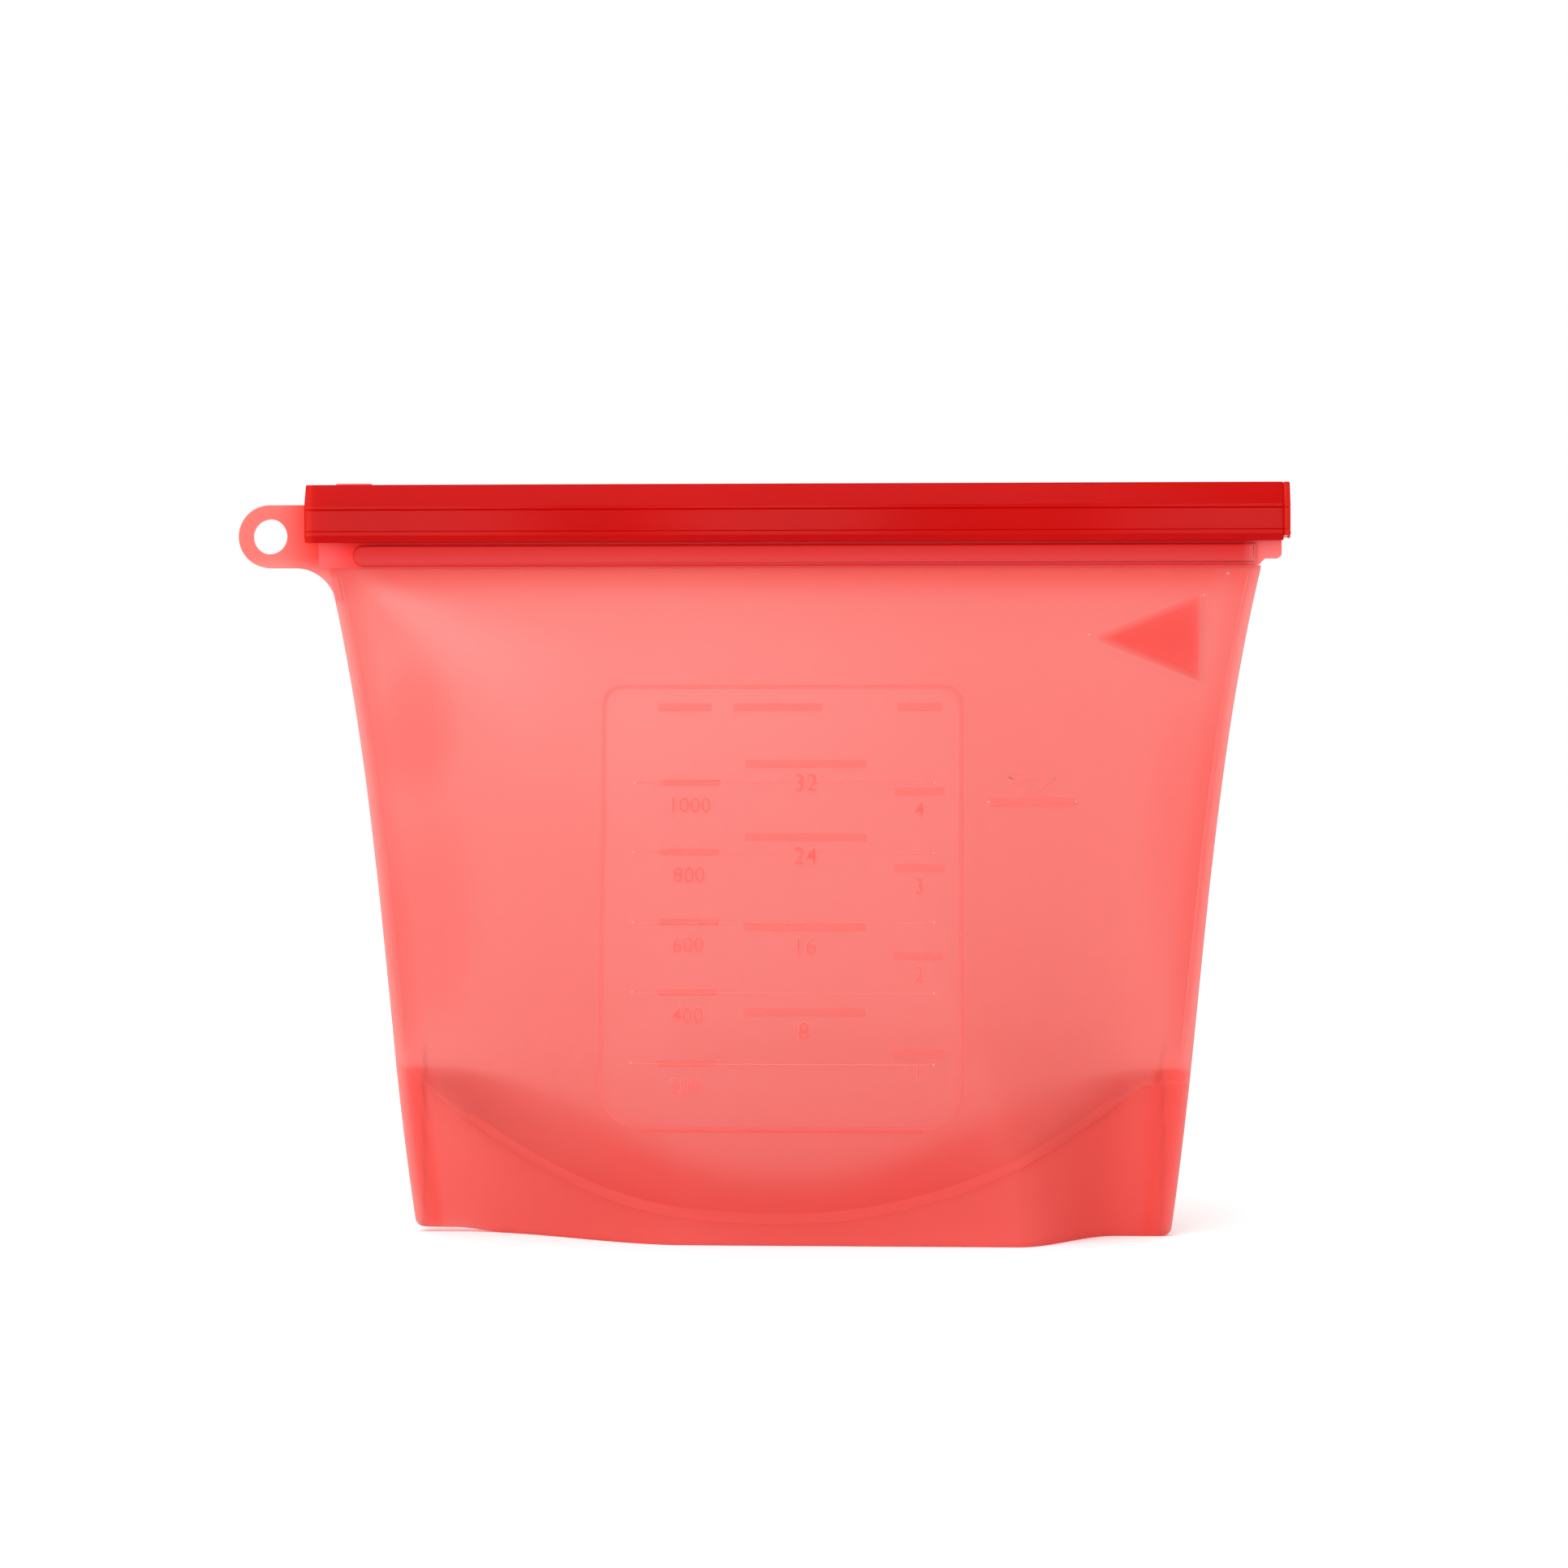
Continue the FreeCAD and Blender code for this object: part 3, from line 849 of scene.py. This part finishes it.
def corner_indent(z):
    """How far a wall's side is set in by the round corner at its foot."""
    below = max(RIM_BULGE + FOOT_CORNER - z, 0.0)
    return FOOT_CORNER - math.sqrt(FOOT_CORNER ** 2 - below ** 2)


def lift(x, z):
    """Rise of the foot's left corner, which stands a little off the floor."""
    share = smooth_step((LIFT_END_X - x) / LIFT_LENGTH)
    return LEFT_LIFT * share * max(1.0 - z / LIFT_FADE_Z, 0.0)


def wall(name, side):
    """One wall. side is -1 for the front and 1 for the back. Past the base panel's ends they are joined."""
    lines = []
    for z in wall_heights():
        reach = half_width(z) - corner_indent(z)
        line = []
        for column in range(WALL_COLUMNS):
            x = reach * (2.0 * column / (WALL_COLUMNS - 1) - 1.0)
            is_joined = abs(x) > SEAM_START_X and z < FOLD_SIDE_Z + ROOM_FADE_Z
            inside = MIDDLE_GAP / 2.0 if is_joined else wall_inside_y(x, z)
            raised_z = z + lift(x, z)
            line.append(((x, side * wall_face_y(x, z), raised_z), (x, side * inside, raised_z)))
        lines.append(line)
    finish_piece(shell_object(name + "_sheet", lines), SHEET, name)


def gusset():
    """Base panel: an arch between the walls, from its weld on one to its weld on the other."""
    lines = []
    end_x = FOOT_HALF_WIDTH - SEAM_WIDTH / 2.0
    for station in range(GUSSET_STATIONS):
        x = end_x * (2.0 * station / (GUSSET_STATIONS - 1) - 1.0)
        weld = weld_z(x)
        reach = wall_inside_y(x, weld) - SHEET_GAP
        rise = fold_z(x) - weld
        line = []
        for step in range(DOME_STEPS + 1):
            turn = math.pi * step / DOME_STEPS
            sideways = -math.copysign(abs(math.cos(turn)) ** DOME_POWER, math.cos(turn))
            upwards = abs(math.sin(turn)) ** DOME_POWER
            outer = (x, sideways * reach, weld + upwards * rise)
            inner = (x, sideways * (reach - GUSSET_THICKNESS), weld + upwards * (rise - GUSSET_THICKNESS))
            line.append((outer, inner))
        lines.append(line)
    finish_piece(shell_object("base_gusset_sheet", lines, 0.1), GUSSET, "base_gusset")


# The mouth: lips, seal ribs and the two tabs.


def lip(name, side):
    """Strip at the mouth with its bead. side is -1 for the front and 1 for the back."""
    low, high = from_box(name)
    root_y = MIDDLE_GAP + LIP_THICKNESS - BEAD_SINK
    bead_y = MIDDLE_GAP + high.y - low.y
    strip_outline = rounded([
        (low.x, low.z - LIP_OVERLAP, 0.0),
        (LIP_STEP_X - LIP_OVERLAP, low.z - LIP_OVERLAP, 0.0),
        (LIP_STEP_X + LIP_STEP, low.z + LIP_STEP, 0.6),
        (high.x, low.z + LIP_STEP, LIP_CORNER),
        (high.x, high.z, 0.5),
        (low.x, high.z, 0.5),
    ])
    bead_outline = rounded([
        (root_y, BEAD_BOTTOM_Z, 0.0),
        (bead_y, BEAD_BOTTOM_Z, 0.35),
        (bead_y, BEAD_SHOULDER_Z, 0.6),
        (root_y, high.z - 0.1, 0.0),
    ])

    def strip_place(a, b, depth):
        return (a, side * (MIDDLE_GAP + depth), b)

    def bead_place(a, b, depth):
        return (low.x + depth, side * a, b)

    strip_piece = plate_object(name + "_strip", [strip_outline], LIP_THICKNESS, strip_place, 0.08)
    finish_piece(strip_piece, LIP, name)
    bead_piece = plate_object(name + "_bead", [bead_outline], high.x - low.x, bead_place, 0.15)
    finish_piece(bead_piece, LIP)


def seal_rib(name, side):
    """Rounded rib under the bar. Its left end is a half circle."""
    low, high = from_box(name)
    radius = (high.z - low.z) / 2.0 - 0.01
    outline = rounded([
        (low.x, low.z, radius),
        (high.x, low.z, 0.6),
        (high.x, high.z, 0.6),
        (low.x, high.z, radius),
    ], 10)
    root_y = MIDDLE_GAP + LIP_THICKNESS - RIB_SINK

    def place(a, b, depth):
        return (a, side * (root_y + depth), b)

    piece = plate_object(name + "_moulding", [outline], high.y - low.y + RIB_SINK, place, RIB_ROUNDING, 6)
    finish_piece(piece, RIB, name)


def arc(centre, radius, start, end, steps):
    """Points on an arc, at angles from start to end."""
    turns = [start + (end - start) * step / steps for step in range(steps + 1)]
    return [centre + radius * Vector((math.cos(turn), math.sin(turn))) for turn in turns]


def hang_tab():
    """Flat eye with a round hole, and the web that curves down from it into the pouch's side."""
    low, high = from_box("hang_tab")
    lip_left = from_box("front_lip")[0].x
    centre = Vector((low.x + TAB_RADIUS, high.z - TAB_RADIUS))
    bottom_z = centre.y - TAB_RADIUS
    radius = TAB_FILLET_RADIUS
    lean = math.atan((half_width(MOUTH_Z) - half_width(MOUTH_Z - radius)) / radius)
    touch_z = bottom_z - radius + radius * math.sin(lean)
    fillet = Vector((-half_width(touch_z) - radius * math.cos(lean), bottom_z - radius))
    right = lip_left + TAB_OVERLAP
    outline = join_points(Vector((right, high.z)), Vector((centre.x, high.z)), 4)
    outline += arc(centre, TAB_RADIUS, math.pi / 2.0, 1.5 * math.pi, 40)
    outline += arc(fillet, radius, math.pi / 2.0, lean, 18)
    outline.append(outline[-1] + Vector((TAB_OVERLAP, 0.4)))
    outline.append(Vector((TAB_OVERLAP - half_width(MOUTH_Z), MOUTH_Z + 0.5)))
    outline.append(Vector((right, MOUTH_Z + TAB_OVERLAP)))
    hole = circle(centre, TAB_HOLE_RADIUS)

    def place(a, b, depth):
        return (a, low.y + depth, b)

    piece = plate_object("hang_tab_moulding", [outline, hole], high.y - low.y, place, 0.4, 4, 1)
    finish_piece(piece, TAB, "hang_tab")


def pull_tab():
    """Small flap that comes out of the back lip and hooks up behind the bar."""
    low, high = from_box("pull_tab")
    thickness = PULL_TAB_THICKNESS
    outline = rounded([
        (low.y, low.z, 0.0),
        (high.y, low.z, 1.6),
        (high.y, high.z, 0.5),
        (high.y - thickness, high.z, 0.5),
        (high.y - thickness, low.z + thickness, 0.4),
        (low.y, low.z + thickness, 0.0),
    ])

    def place(a, b, depth):
        return (low.x + depth, a, b)

    piece = plate_object("pull_tab_moulding", [outline], high.x - low.x, place, 0.4)
    finish_piece(piece, TAB, "pull_tab")


def slide_arrow():
    """Wedge on the front wall, thin at its tip and thick at its straight side."""
    low, high = from_box("slide_arrow")
    middle_z = (low.z + high.z) / 2.0
    half_height = (high.z - low.z) / 2.0
    lines = []
    for column in range(ARROW_STEPS + 1):
        share = ARROW_TIP_SHARE + (1.0 - ARROW_TIP_SHARE) * column / ARROW_STEPS
        x = low.x + (high.x - low.x) * column / ARROW_STEPS
        line = []
        for row in range(ARROW_STEPS + 1):
            across = 2.0 * row / ARROW_STEPS - 1.0
            z = middle_z + half_height * share * across
            room = half_height * share * (1.0 - abs(across))
            height = (ARROW_EDGE_RISE + ARROW_RISE * share) * smooth_step(0.12 + room / ARROW_SLOPE)
            base = wall_face_y(x, z) + ARROW_GAP
            line.append(((x, -base - height, z), (x, -base, z)))
        lines.append(line)
    finish_piece(shell_object("slide_arrow_moulding", lines, 0.05), ARROW, "slide_arrow")


# Raised lines and figures on the walls.


def on_wall(x, z, height, side=-1.0):
    """A point at a height over a wall's outer face."""
    return (x, side * (wall_face_y(x, z) + height), z)


def raised_line(name, path, width, height, material, closed=False, wall_side=-1.0):
    """A low rounded ridge that follows a wall, along a path of (x, z) points."""
    points = []
    faces = []
    size = len(RIDGE_PROFILE)
    for number, here in enumerate(path):
        before = path[number - 1] if closed or number else here
        after = path[(number + 1) % len(path)] if closed or number + 1 < len(path) else here
        along = (after - before).normalized()
        side = Vector((-along.y, along.x))
        is_end = not closed and number in (0, len(path) - 1)
        rise = RIDGE_END_RISE if is_end else height
        for across, share in RIDGE_PROFILE:
            spot = here + side * across * width
            points.append(on_wall(spot.x, spot.y, share * (rise + RIDGE_SINK) - RIDGE_SINK, wall_side))
    for link in range(len(path) if closed else len(path) - 1):
        a = link * size
        b = (link + 1) % len(path) * size
        for number in range(size):
            following = (number + 1) % size
            faces.append((a + number, a + following, b + following, b + number))
    if not closed:
        faces.append(tuple(range(size)))
        faces.append(tuple(range(len(points) - 1, len(points) - 1 - size, -1)))
    finish_piece(mesh_object(name, points, faces), material)


def raised_text(name, text, x, z, size):
    """Figures on the front wall, bent to follow it."""
    curve = bpy.data.curves.new(name, "FONT")
    curve.body = text
    curve.size = size
    curve.align_x = "CENTER"
    curve.extrude = 0.08
    curve.offset = 0.1
    curve.bevel_depth = 0.04
    curve.resolution_u = 4
    maker = add_object(name + "_maker", curve)
    bpy.context.view_layer.update()
    evaluated = maker.evaluated_get(bpy.context.evaluated_depsgraph_get())
    flat = bpy.data.meshes.new_from_object(evaluated)
    points = [on_wall(x + v.co.x, z + v.co.y, v.co.z + 0.1) for v in flat.vertices]
    faces = [tuple(face.vertices) for face in flat.polygons]
    bpy.data.objects.remove(maker)
    bpy.data.meshes.remove(flat)
    finish_piece(mesh_object(name, points, faces, smooth=False), DEEP_RELIEF)


def dash(name, span, z, width=DASH_WIDTH, height=DASH_HEIGHT, material=RELIEF):
    """A level bar on the front wall, with pointed tips. span is its two ends' x."""
    left, right = span
    count = max(4, round((right - left) / 1.5))
    start = Vector((left + DASH_TIP, z))
    end = Vector((right - DASH_TIP, z))
    path = [Vector((left, z)), *join_points(start, end, count), end, Vector((right, z))]
    raised_line(name, path, width, height, material)


def pip(name, x, z, size=0.6):
    """A small round-backed dot."""
    path = [Vector((x + share * size, z)) for share in (-0.5, 0.0, 0.5)]
    raised_line(name, path, size, 0.3, RELIEF)


def scale_column(side, span, width, rows, step, figure_x, drop, size):
    """A column of dashes, each over its figure. Figures go up by step, and are drop below their dashes."""
    for number, z in enumerate(rows, 1):
        dash(f"{side}_dash_{number}", span, z, width)
        raised_text(f"{side}_figure_{number}", str(step * number), figure_x, z - drop, size)


def measuring_panel():
    """A rounded frame with a scale of long lines and three columns of dashes and figures."""
    left = PANEL_MIDDLE_X - PANEL_HALF_WIDTH
    right = PANEL_MIDDLE_X + PANEL_HALF_WIDTH
    corners = rounded([
        (left, PANEL_LOW_Z, PANEL_CORNER),
        (right, PANEL_LOW_Z, PANEL_CORNER),
        (right, PANEL_HIGH_Z, PANEL_TOP_CORNER),
        (left, PANEL_HIGH_Z, PANEL_TOP_CORNER),
    ], 8)
    path = []
    for number, here in enumerate(corners):
        after = corners[(number + 1) % len(corners)]
        path += join_points(here, after, max(1, round((after - here).length / 2.0)))
    raised_line("panel_rim", path, 1.0, 0.06, RELIEF, closed=True)
    foot_span = (left + PANEL_CORNER, right - PANEL_CORNER)
    dash("panel_foot_line", foot_span, PANEL_LOW_Z - 0.5, 0.9, DASH_HEIGHT, DEEP_RELIEF)
    for number, z in enumerate(LINE_ROWS, 1):
        dash(f"scale_line_{number}", LINE_SPAN, z, 0.4, 0.14, DEEP_RELIEF)
        pip(f"scale_dot_left_{number}", LINE_SPAN[0], z)
        pip(f"scale_dot_right_{number}", LINE_SPAN[1], z)
    for column in SCALE_COLUMNS:
        scale_column(*column)
    for number, span in enumerate(HEAD_SPANS, 1):
        dash(f"column_head_{number}", span, HEAD_Z)


def fill_mark():
    """A bar with a small triangle over it, beside the panel."""
    dash("fill_line", FILL_SPAN, FILL_Z, 2.0, 0.16)
    pip("fill_dot_left", FILL_SPAN[0], FILL_Z + 0.2)
    pip("fill_dot_right", FILL_SPAN[1], FILL_Z + 0.2)
    corners = [Vector(corner) for corner in FILL_TRIANGLE]
    path = []
    for number, here in enumerate(corners):
        path += join_points(here, corners[(number + 1) % 3], 5)
    raised_line("fill_triangle", path, 0.8, 0.1, RELIEF, closed=True)


def weld_bead(name, side):
    """Low ridge along the weld between a wall and the folded base."""
    path = []
    for step in range(WELD_STEPS + 1):
        x = WELD_BEAD_REACH * (2.0 * step / WELD_STEPS - 1.0)
        path.append(Vector((x, weld_z(x) + WELD_BEAD_RISE_Z)))
    raised_line(name, path, 2.6, 0.16, DEEP_RELIEF, wall_side=side)


def side_seams(name, side):
    """Fine ridges up the pouch's two sides, where the two walls are welded together."""
    for end, direction in (("left", -1.0), ("right", 1.0)):
        path = []
        for step in range(SEAM_STEPS + 1):
            z = SEAM_LOW_Z + (SEAM_HIGH_Z - SEAM_LOW_Z) * step / SEAM_STEPS
            path.append(Vector((direction * (half_width(z) - SEAM_INSET), z)))
        raised_line(f"{name}_{end}", path, 0.8, 0.1, RELIEF, wall_side=side)


# The slide bar.


def groove(y, z, size):
    """Corners of a fine V groove in a face that looks towards the front."""
    return [(y, z - size, 0.0), (y + size, z, 0.0), (y, z + size, 0.0)]


def bar_outside(low, high):
    """Half of the bar's outer outline, from its front foot to its top edge, as (y, z, radius)."""
    front_y = -high.y
    grooves = [corner for drop, size in BAR_GROOVES for corner in groove(front_y, high.z - drop, size)]
    return [
        (front_y + BAR_FOOT_BEVEL[0], low.z, 0.3),
        (front_y, low.z + BAR_FOOT_BEVEL[1], 0.4),
        *grooves,
        (front_y, high.z - BAR_TOP_BEVEL[1], 0.5),
        (front_y + BAR_TOP_BEVEL[0], high.z, 0.6),
    ]


def mirrored(corners):
    """The same corners on the back, in the order in which the outline meets them."""
    return [(-y, z, radius) for y, z, radius in reversed(corners)]


def bar_piece(name, node, corners, rounding):
    """A section of the slide bar, as long as its CAD node."""
    low, high = from_box(node)

    def place(a, b, depth):
        return (low.x + depth, a, b)

    outline = rounded(corners, 3, BAR_FLAT_SUPPORT)
    piece = plate_object(name, [outline], high.x - low.x, place, rounding)
    finish_piece(piece, BAR, node, body="clamp", slot="slide_bar")


def clamp_bar():
    """C channel round the two lips, with a slot along its foot."""
    low, high = from_box("clamp_bar")
    front = bar_outside(low, high)
    inside = [
        (-BAR_INSIDE_TOP_HALF, high.z - BAR_WALL, 0.3),
        (BAR_WALL - high.y, high.z - BAR_INSIDE_SHOULDER, 0.3),
        (BAR_WALL - high.y, low.z + BAR_HOOK_HEIGHT, 0.3),
        (-BAR_SLOT_HALF, low.z + BAR_WALL, 0.3),
        (-BAR_SLOT_HALF, low.z, 0.3),
    ]
    corners = front + mirrored(front) + mirrored(inside) + inside
    bar_piece("slide_bar_channel", "clamp_bar", corners, 0.25)


def clamp_end_cap():
    """Full wall that closes the bar's right end."""
    front = bar_outside(*from_box("clamp_end_cap"))
    bar_piece("slide_bar_end_wall", "clamp_end_cap", front + mirrored(front), 0.35)


# The studio.


def aim(thing, target):
    thing.rotation_euler = (Vector(target) - thing.location).to_track_quat("-Z", "Y").to_euler()


def camera():
    """Looks at the bag from the photo's side, nearly square to its front."""
    azimuth = math.radians(CAMERA_AZIMUTH)
    elevation = math.radians(CAMERA_ELEVATION)
    target = Vector(to_row(CAMERA_TARGET))
    data = bpy.data.cameras.new("camera")
    data.sensor_width = 36.0
    data.lens = CAMERA_LENS
    eye = add_object("camera", data)
    level = math.cos(elevation)
    away = Vector((math.sin(azimuth) * level, -math.cos(azimuth) * level, math.sin(elevation)))
    eye.location = target + away * CAMERA_DISTANCE
    aim(eye, target)
    bpy.context.scene.camera = eye


def place_lamp(name, data, location, target):
    lamp = add_object(name, data)
    lamp.location = location
    aim(lamp, target)


def soft_box(name, x, width, radiance):
    """Rectangular light of a given radiance, where white paper in full daylight would be 1."""
    data = bpy.data.lights.new(name, "AREA")
    data.shape = "RECTANGLE"
    data.size = width
    data.size_y = SOFT_BOX_HEIGHT
    data.energy = radiance * math.pi * width * SOFT_BOX_HEIGHT
    place_lamp(name, data, (x, SOFT_BOX_Y, SOFT_BOX_Z), (MIDDLE_X, 0.0, SOFT_BOX_TARGET_Z))


def world_light():
    """White all round, which lights the bag a little more brightly than the camera sees it."""
    world = bpy.data.worlds.new("studio")
    world.use_nodes = True
    bpy.context.scene.world = world
    tree = world.node_tree
    path = tree.nodes.new("ShaderNodeLightPath")
    level = tree.nodes.new("ShaderNodeMapRange")
    level.inputs["To Min"].default_value = WORLD_LIGHT
    level.inputs["To Max"].default_value = 1.0
    tree.links.new(path.outputs["Is Camera Ray"], level.inputs["Value"])
    background = tree.nodes["Background"]
    background.inputs["Color"].default_value = (1.0, 1.0, 1.0, 1.0)
    tree.links.new(level.outputs[0], background.inputs["Strength"])


def floor():
    """Plain pale paper under the bag."""
    size = FLOOR_HALF_SIZE
    corners = [(-size, -size, 0.0), (size, -size, 0.0), (size, size, 0.0), (-size, size, 0.0)]
    mesh = bpy.data.meshes.new("floor")
    mesh.from_pydata(corners, [], [(0, 1, 2, 3)])
    material, tree, output = node_material("floor_paper")
    paper = tree.nodes.new("ShaderNodeBsdfPrincipled")
    paper.inputs["Base Color"].default_value = (0.96, 0.96, 0.96, 1.0)
    paper.inputs["Roughness"].default_value = 0.9
    tree.links.new(paper.outputs[0], output.inputs["Surface"])
    mesh.materials.append(material)
    add_object("floor", mesh)


def studio():
    world_light()
    key = bpy.data.lights.new("key_light", "SUN")
    key.energy = KEY_STRENGTH
    key.angle = math.radians(KEY_SPREAD)
    place_lamp("key_light", key, KEY_DIRECTION, (0.0, 0.0, 0.0))
    for box in SOFT_BOXES:
        soft_box(*box)
    floor()


def write_sizes():
    """Only updates the view layer."""
    bpy.context.view_layer.update()


def main():
    bpy.context.scene.view_settings.view_transform = "Standard"
    camera()
    studio()
    for name, side in (("front", -1.0), ("back", 1.0)):
        wall(f"{name}_wall", side)
        lip(f"{name}_lip", side)
        seal_rib(f"{name}_seal_rib", side)
        weld_bead(f"{name}_weld_bead", side)
        side_seams(f"{name}_side_seam", side)
    gusset()
    hang_tab()
    pull_tab()
    slide_arrow()
    measuring_panel()
    fill_mark()
    for spot in MOULD_PIPS:
        pip(*spot)
    clamp_bar()
    clamp_end_cap()
    write_sizes()


main()
